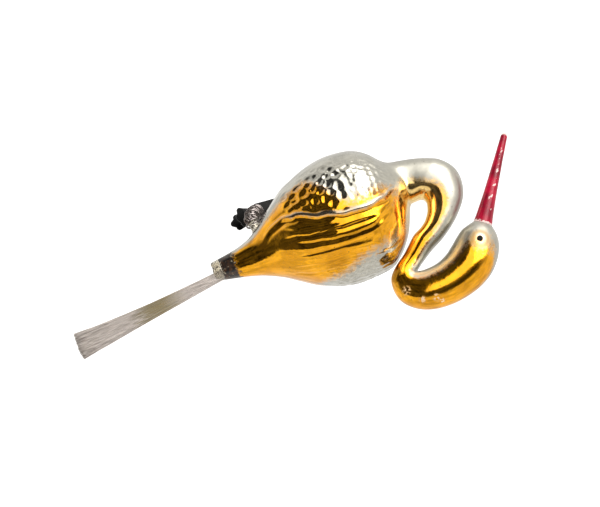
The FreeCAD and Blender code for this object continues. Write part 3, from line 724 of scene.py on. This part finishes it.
def brush_oval(reach):
    """Height of the middle, half height and half depth of the brush behind the tube's rim."""
    behind = max(reach, 0.0)
    middle = 1.83 + 0.125 * reach - 0.00055 * reach ** 2
    return middle, 1.6 + 0.0165 * behind + 0.00076 * behind ** 2, 1.5 + 0.034 * behind


def fibre_point(i, reach):
    """Where a fibre is at a reach: most lie near the outside, and they stray as they leave the tube."""
    turn = i * GOLDEN_ANGLE
    out = 0.93 + 0.07 * math.sin(i * 1.7) if i % 4 else 0.35 + 0.5 * (i / FIBRES)
    middle, half_height, half_depth = brush_oval(reach)
    stray = 0.1 + 0.009 * max(reach, 0.0)
    aside = stray * noise.noise(Vector((i * 0.73, reach / 22, 0.0)))
    upward = stray * noise.noise(Vector((i * 0.73, reach / 22, 9.0)))
    y = out * half_depth * math.sin(turn) + aside
    return Vector((BRUSH_RIM_X - reach, y, middle + out * half_height * math.cos(turn) + upward))


def fibre_end(i):
    """Where a fibre is cut: nearly square, a little uneven, and shorter along the top."""
    ragged = 0.9 * abs(noise.noise(Vector((i * 1.9, 0.5, 0.0))))
    return STATION_REACH[-1] - ragged - 0.8 * max(0, math.cos(i * GOLDEN_ANGLE) - 0.7)


def spun_glass():
    """Bundled glass fibre: pale grey-taupe, silky along its length, with dye in patches and painted shade in
    darker streaks between the fibres.
    """
    material, node, shader, bird_mm = new_material("spun_glass_fibre")
    shade = node("Attribute", output="Fac", attribute_name="shade")
    x_place = node("SeparateXYZ", (bird_mm,), output="X")
    # Streaks run 20 times as long as they are wide, a quarter of a millimetre across.
    along = node("Mapping", {"Vector": bird_mm, "Scale": (0.05, 1.0, 1.0)})
    streak = node("TexNoise", {"Vector": along, "Scale": 1 / 0.28, "Detail": 3.0})
    pale = node("MapRange", (shade, 0.0, 1.0))
    base = node("Mix", {0: pale, 6: "#AFA49A", 7: "#E9E0DA"}, data_type="RGBA")
    # The darker streaks mixed in here are painted shade between the fibres.
    shadow = node("MapRange", (streak, 0.40, 0.68, 0.0, 0.75))
    # Dye soaked in from about 13 to 30 mm behind the rim, and into some tips.
    ragged = node("MapRange", (streak, 0.3, 0.7, -3.0, 3.0))
    rough_place = node("Math", (x_place, ragged), operation="ADD")
    far_edge = node("MapRange", (rough_place, -33.5, -27.0))
    near_edge = node("MapRange", (rough_place, -22.0, -14.5, 1.0, 0.0))
    patch = node("Math", (far_edge, near_edge), operation="MULTIPLY")
    patch_share = node("MapRange", (patch, 0.0, 1.0, 0.0, 0.85))
    by_tips = node("MapRange", (rough_place, -42.0, -50.0))
    some = node("MapRange", (streak, 0.48, 0.60))
    tips = node("Math", (by_tips, some), operation="MULTIPLY")
    tip_share = node("MapRange", (tips, 0.0, 1.0, 0.0, 0.85))
    for share, over in ((shadow, "#8C8078"), (patch_share, "#7E6E3C"), (tip_share, "#5A4430")):
        base = node("Mix", {0: share, 6: base, 7: over}, data_type="RGBA")
    rough = node("MapRange", (streak, 0.3, 0.7, 0.28, 0.5))
    fill(shader, {"Base Color": base, "Roughness": rough, "Sheen Weight": 0.25})
    return material


brush_glass = spun_glass()
brush = bmesh.new()
fibre_layer = brush.verts.layers.int.new("fibre")
shade_layer = brush.verts.layers.float.new("shade")
for i in range(FIBRES):
    place = Matrix.Translation(fibre_point(i, STATION_REACH[0])) @ Matrix.Rotation(math.radians(90), 4, "Y")
    for v in bmesh.ops.create_circle(brush, segments=3, radius=FIBRE_RADIUS, matrix=place)["verts"]:
        v[fibre_layer] = i
        v[shade_layer] = 0.5 + 0.5 * noise.noise(Vector((i * 2.31, 4.7, 0.0)))
edges = list(brush.edges)
for here, there in zip(STATION_REACH, STATION_REACH[1:]):
    ring, edges = next_ring(brush, edges)
    for v in ring:
        i = v[fibre_layer]
        end = there if there < STATION_REACH[-1] else fibre_end(i)
        v.co += fibre_point(i, end) - fibre_point(i, here)
open_rims = [e for e in brush.edges if e.is_boundary]
bmesh.ops.holes_fill(brush, edges=open_rims, sides=3)
finish_piece(brush, "spun_glass_fibres", "bird", brush_glass, replaces=["tail_fibres"])

# %% [markdown]
# ## The heart of the brush
# Behind the outer fibres the brush is dense.  One closed tube a little smaller than the brush stands for all
# of the inner fibres, so light doesn't leak between the outer ones.

# %% Dense inner fibres
HEART_STEPS = 24
HEART_SIZE = 0.9
HEART_SHADE = 0.35


def heart_place(reach):
    """An oval across the brush, as a circle's place and size."""
    middle, half_height, half_depth = brush_oval(reach)
    oval = Matrix.Diagonal((1, half_depth * HEART_SIZE, half_height * HEART_SIZE, 1))
    turned = Matrix.Rotation(math.radians(90), 4, "Y")
    return Matrix.Translation((BRUSH_RIM_X - reach, 0, middle)) @ oval @ turned


heart_places = [heart_place(0.8 + 48.0 * i / HEART_STEPS) for i in range(HEART_STEPS + 1)]
heart_mesh, heart_rings = draw_tube(heart_places, 40, ("shade",))
close_ring(heart_mesh, heart_rings[0], "the root of the brush")
close_ring(heart_mesh, heart_rings[-1], "the end of the brush")
heart_shade = heart_mesh.verts.layers.float["shade"]
for v in heart_mesh.verts:
    v[heart_shade] = HEART_SHADE
finish_piece(heart_mesh, "brush_heart", "bird", brush_glass)

# %% [markdown]
# ## The coil
# The coil is soft steel wire, bent over by handling.  It is one helix about a bent line, drawn as a
# curve with a round bevel.  It has two halves: the lower one bends between the clip and the middle of the
# coil, and the upper one between the middle and the bird, so it flexes at both ends as the real one does.

# %% Coil in two halves
COIL_TOP = Vector((13.322, 0, -9.848))
COIL_DOWN = Vector((-0.1736, 0, -0.9848))
SEAT = Vector((15.0, -7.6, -15.3))
SEAT_NORMAL = Vector((0.4540, 0.8876, 0.0777))
COIL_TURNS = 8.0
WIRE_RADIUS = 0.28
# The first and last half turn lie flat, and the radius closes in on the rivet.
FLAT = 0.55
TOP_RADIUS, TOP_GROWTH, FOOT_SHRINK = 1.83, 0.37, 0.67
TOP_HANDLE, FOOT_HANDLE = 4.5, 3.5
foot = SEAT + SEAT_NORMAL * (WIRE_RADIUS + 0.06)
coil_handles = [COIL_TOP, COIL_TOP + COIL_DOWN * TOP_HANDLE, foot + SEAT_NORMAL * FOOT_HANDLE, foot]


def coil_middle(share):
    """The coil's middle line and its direction, from the bird (0) to the clip (1)."""
    a, b, c, d = coil_handles
    rest = 1 - share
    place = a * rest ** 3 + b * 3 * rest ** 2 * share + c * 3 * rest * share ** 2 + d * share ** 3
    direction = (b - a) * rest ** 2 + (c - b) * 2 * rest * share + (d - c) * share ** 2
    return place, direction.normalized()


def coil_point(turn):
    """A point on the wire's middle after a number of turns from the bird."""
    place, direction = coil_middle(min(max((turn - FLAT) / (COIL_TURNS - 2 * FLAT), 0.0), 1.0))
    first = (Vector((0, 1, 0)) - direction * direction.y).normalized()
    second = direction.cross(first)
    radius = TOP_RADIUS + TOP_GROWTH * smooth(0.1, FLAT, turn)
    radius -= FOOT_SHRINK * smooth(COIL_TURNS - FLAT, COIL_TURNS - 0.1, turn)
    angle = 2 * math.pi * turn
    return place + first * radius * math.cos(angle) + second * radius * math.sin(angle)


def wire_piece(name, points, radius, material):
    """A round wire through the points, as a mesh with closed ends."""
    curve = bpy.data.curves.new(name + "_line", "CURVE")
    curve.dimensions, curve.bevel_depth, curve.bevel_resolution = "3D", radius, 3
    curve.use_fill_caps = True
    line = curve.splines.new("POLY")
    line.points.add(len(points) - 1)
    for p, place in zip(line.points, points):
        p.co = (*place, 1)
    carrier = bpy.data.objects.new(name + "_line", curve)
    bm = bmesh.new()
    bm.from_mesh(bpy.data.meshes.new_from_object(carrier))
    bpy.data.objects.remove(carrier)
    bmesh.ops.remove_doubles(bm, verts=bm.verts, dist=0.001)
    return finish_piece(bm, name, None, material)


def worn_steel(name, pale, dark, rust):
    """Drawn steel wire: grey metal, dulled by handling, with brown tarnish in patches."""
    material, node, shader, bird_mm = new_material(name)
    patch = node("TexNoise", {"Vector": bird_mm, "Scale": 1 / 1.4, "Detail": 4.0})
    fine = node("TexNoise", {"Vector": bird_mm, "Scale": 1 / 0.2, "Detail": 3.0})
    dulled = node("MapRange", (patch, 0.35, 0.65))
    base = node("Mix", {0: dulled, 6: pale, 7: dark}, data_type="RGBA")
    rusted = node("MapRange", (patch, 0.60, 0.70, 0.0, 0.7))
    base = node("Mix", {0: rusted, 6: base, 7: rust}, data_type="RGBA")
    rough = node("MapRange", (fine, 0.3, 0.7, 0.28, 0.5))
    drawn = node("Bump", {"Height": fine, "Distance": 0.05 * MM, "Strength": 0.3})
    fill(shader, {"Base Color": base, "Metallic": 1.0, "Roughness": rough, "Normal": drawn})
    return material


steel = worn_steel("tarnished_spring_steel", "#A79F9C", "#7C7270", "#5E4632")
COIL_STEPS = 192
HALF_TURNS = COIL_TURNS / 2
turns = [COIL_TURNS * i / COIL_STEPS for i in range(COIL_STEPS + 1)]
upper_line = [coil_point(turn) for turn in turns if turn <= HALF_TURNS + 0.001]
lower_line = [coil_point(turn) for turn in turns if turn >= HALF_TURNS - 0.001]
upper = wire_piece("coil_upper", upper_line, WIRE_RADIUS, steel)
lower = wire_piece("coil_lower", lower_line, WIRE_RADIUS, steel)
half_way = to_frame @ coil_middle(0.5)[0]
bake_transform(upper, "coil", "bird", start=half_way, end=to_frame @ coil_middle(0.02)[0])
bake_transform(lower, "clip", "coil", start=to_frame @ coil_middle(0.98)[0], end=half_way)
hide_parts("coil_spring")

# %% [markdown]
# ## The clip's torsion spring
# The measured spring is the right shape, but one of its legs rests on the plate and the other on the jaw.
# A copy of it takes its place and bends about the pin, so that each leg stays with its own part.

# %% Torsion spring that follows the jaw
torsion_mesh = nodes["clip_spring"].data.copy()
torsion_mesh.transform(nodes["clip_spring"].matrix_world)
torsion_mesh.materials.clear()
torsion_mesh.materials.append(steel)
torsion = bpy.data.objects.new("torsion_wire", torsion_mesh)
bpy.context.scene.collection.objects.link(torsion)
pin_low, pin_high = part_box("clip_pin")
pin = (pin_low + pin_high) / 2
reach = max((v.co for v in torsion_mesh.vertices), key=lambda place: (place - pin).length) - pin
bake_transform(torsion, "clip", "jaw", start=pin - reach * 0.15, end=pin + reach * 0.45)
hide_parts("clip_spring")
print("torsion wire reaches", round(reach.length / MM, 2), "mm from its pin")

# %% [markdown]
# ## The clip
# The clip is stamped from black-enamelled spring sheet, and the measured plates already have its true
# shape, so they stay and get the enamel: glossy, a little uneven, with scuffs down to the steel.

# %% Enamel and steel on the measured pieces
def black_enamel():
    """Glossy black enamel with scuffs down to the steel."""
    material, node, shader, bird_mm = new_material("baked_black_enamel")
    patch = node("TexNoise", {"Vector": bird_mm, "Scale": 1 / 2.0, "Detail": 5.0})
    scuff = node("TexNoise", {"Vector": bird_mm, "Scale": 1 / 0.6, "Detail": 5.0})
    bare = node("MapRange", (scuff, 0.70, 0.74))
    black = node("Mix", {0: patch, 6: "#020202", 7: "#080707"}, data_type="RGBA")
    base = node("Mix", {0: bare, 6: black, 7: "#7B7470"}, data_type="RGBA")
    rough = node("MapRange", (patch, 0.3, 0.7, 0.30, 0.5))
    sag = node("Bump", {"Height": patch, "Distance": 0.1 * MM, "Strength": 0.4})
    fill(shader, {"Base Color": base, "Metallic": bare, "Roughness": rough, "Normal": sag})
    fill(shader, {"Specular IOR Level": 0.15})
    return material


def eye_lacquer():
    """A dot of black lacquer set with the tip of a stick: glossy, with a faint dusty bloom."""
    material, node, shader, bird_mm = new_material("black_eye_lacquer")
    bloom = node("TexNoise", {"Vector": bird_mm, "Scale": 1 / 0.4, "Detail": 3.0})
    dusty = node("MapRange", (bloom, 0.4, 0.8))
    base = node("Mix", {0: dusty, 6: "#050505", 7: "#171310"}, data_type="RGBA")
    rough = node("MapRange", (bloom, 0.3, 0.7, 0.3, 0.5))
    fill(shader, {"Base Color": base, "Roughness": rough, "Specular IOR Level": 0.12})
    return material


def aged_glue():
    """Hide glue gone brown: nearly black where thick and amber where thin."""
    material, node, shader, bird_mm = new_material("aged_hide_glue")
    depth = node("TexNoise", {"Vector": bird_mm, "Scale": 1 / 1.5, "Detail": 3.0})
    thin = node("MapRange", (depth, 0.45, 0.7))
    base = node("Mix", {0: thin, 6: "#1A0F08", 7: "#7A4A14"}, data_type="RGBA")
    rough = node("MapRange", (depth, 0.3, 0.7, 0.2, 0.45))
    fill(shader, {"Base Color": base, "Roughness": rough})
    return material


enamel, eye_black, glue = black_enamel(), eye_lacquer(), aged_glue()
finishes = {
    "clip_upper_plate": enamel, "clip_lower_jaw": enamel, "clip_pin": steel, "coil_rivet": steel,
    "left_eye": eye_black, "right_eye": eye_black, "tail_glue": glue,
    "mount_nub": clear_glass("clear_nub_glass"),
}
for name, material in finishes.items():
    nodes[name].material_slots[0].material = material
print("finished", len(finishes), "measured pieces")

# %% [markdown]
# ## Floor, light and surroundings
# A mirror shows its surroundings, so they matter more than lamps.  Silvered ornaments look best in a pale
# room with one dark side and one bright window: the dark side gives the lacquer its deep brown, and the
# window its burnt-out highlights.  The world is drawn by direction, and the camera itself sees plain white.

# %% Pale floor
FLOOR_SIZE = 9000.0
FLOOR_PLACE = (30, 0, -90)
floor_mesh = bmesh.new()
bmesh.ops.create_grid(
    floor_mesh, x_segments=2, y_segments=2, size=FLOOR_SIZE, matrix=Matrix.Translation(FLOOR_PLACE)
)


def pale_floor():
    """Matt white paper, a little bright of itself so that its horizon doesn't show."""
    material, node, shader, bird_mm = new_material("pale_matt_paper")
    grain = node("TexNoise", {"Vector": bird_mm, "Scale": 1 / 3.0, "Detail": 4.0})
    base = node("Mix", {0: grain, 6: "#FAFAFA", 7: "#FFFFFF"}, data_type="RGBA")
    fill(shader, {"Base Color": base, "Roughness": 0.8})
    fill(shader, {"Emission Color": "#FFFFFF", "Emission Strength": 0.3})
    return material


bmesh.ops.transform(floor_mesh, matrix=to_frame, verts=floor_mesh.verts)
floor_data = bpy.data.meshes.new("floor")
floor_mesh.to_mesh(floor_data)
floor_mesh.free()
floor = bpy.data.objects.new("floor", floor_data)
floor_data.materials.append(pale_floor())
bpy.context.scene.collection.objects.link(floor)
floor.visible_glossy = False

# %% Room, window and white backdrop
world = bpy.data.worlds.new("studio")
bpy.context.scene.world = world
world.use_nodes = True
sky = world.node_tree
sky.nodes.clear()
direction = add(sky, "TexCoord", output="Generated")
sideways = add(sky, "SeparateXYZ", (direction,), output="X")
upward = add(sky, "SeparateXYZ", (direction,), output="Z")
clutter = add(sky, "TexNoise", {"Vector": direction, "Scale": 5.0, "Detail": 3.0})
# The dark half of the room is everything on the viewer's side of two planes.
above = add(sky, "VectorMath", (direction, (0.0, 0.839, -0.545)), operation="DOT_PRODUCT")
ahead = add(sky, "VectorMath", (direction, (0.0, 1.0, 0.09)), operation="DOT_PRODUCT")
under_plane = add(sky, "MapRange", (above, 0.0, 0.07))
before_plane = add(sky, "MapRange", (ahead, 0.0, 0.3))
room = add(sky, "Math", (under_plane, before_plane), operation="MULTIPLY")
# The window is in it, with a slanting left edge, an upright right one, and a level top.
slant = add(sky, "VectorMath", (direction, (1.0, 0.0, 0.38)), operation="DOT_PRODUCT")
left_edge = add(sky, "MapRange", (slant, -0.19, -0.15))
right_edge = add(sky, "MapRange", (sideways, 0.72, 0.92, 1.0, 0.0))
top_edge = add(sky, "MapRange", (upward, 0.32, 0.42, 1.0, 0.0))
between = add(sky, "Math", (left_edge, right_edge), operation="MULTIPLY")
window = add(sky, "Math", (between, top_edge), operation="MULTIPLY")
pane = add(sky, "MapRange", (sideways, 0.25, 0.48, 1.8, 6.0))
dim = add(sky, "MapRange", (clutter, 0.35, 0.7, 0.015, 0.14))
far_side = add(sky, "MapRange", (sideways, 0.5, 0.8, 0.0, 0.5))
dark = add(sky, "Math", (dim, far_side), operation="ADD")
room_light = add(sky, "Mix", {0: window, 2: dark, 3: pane}, data_type="FLOAT")
pale = add(sky, "MapRange", (clutter, 0.32, 0.62, 0.6, 1.1))
mirrored = add(sky, "Mix", {0: room, 2: pale, 3: room_light}, data_type="FLOAT")
# Only mirrors see the room; matt surfaces get even light, and the camera sees white.
glossy = add(sky, "LightPath", output="Is Glossy Ray")
strength = add(sky, "Mix", {0: glossy, 2: 1.0, 3: mirrored}, data_type="FLOAT")
lit = add(sky, "Background", {"Color": "#FFFEFB", "Strength": strength})
seen = add(sky, "Background", {"Color": "#FFFFFF", "Strength": 1.25})
by_camera = add(sky, "LightPath", output="Is Camera Ray")
backdrop = add(sky, "MixShader", (by_camera, lit, seen))
add(sky, "OutputWorld", {"Surface": backdrop})

lamp = bpy.data.lights.new("soft_box", "AREA")
lamp.shape, lamp.size, lamp.energy = "DISK", 0.5, 1.5
soft_box = bpy.data.objects.new("soft_box", lamp)
bpy.context.scene.collection.objects.link(soft_box)
soft_box.location = (0.25, 0.5, 0.45)
soft_box.rotation_euler = (Vector((0.03, 0, 0.02)) - soft_box.location).to_track_quat("-Z", "Y").to_euler()
soft_box.visible_glossy = False
lamp.use_shadow = False
bpy.context.scene.view_settings.view_transform = "Standard"

# %% [markdown]
# ## Camera
# A long lens far away keeps the long tail and the near neck at their true proportions.  The bird lies with
# its belly up in the picture, so the camera is rolled over.

# %% Camera
RIGHT = Vector((0.932, -0.0937, 0.3497)).normalized()
BACK = Vector((0, 0.9659, 0.2588)).normalized()
UP = BACK.cross(RIGHT).normalized()
LENS, SENSOR, WIDTH_SEEN = 120.0, 36.0, 0.1896
camera_data = bpy.data.cameras.new("camera")
camera_data.lens, camera_data.sensor_width = LENS, SENSOR
camera = bpy.data.objects.new("camera", camera_data)
bpy.context.scene.collection.objects.link(camera)
aim = TUBE * MM + RIGHT * 0.0237 + UP * 0.00458
away = Matrix.Translation(aim + BACK * (WIDTH_SEEN * LENS / SENSOR))
camera.matrix_world = away @ Matrix((RIGHT, UP, BACK)).transposed().to_4x4()
bpy.context.scene.camera = camera
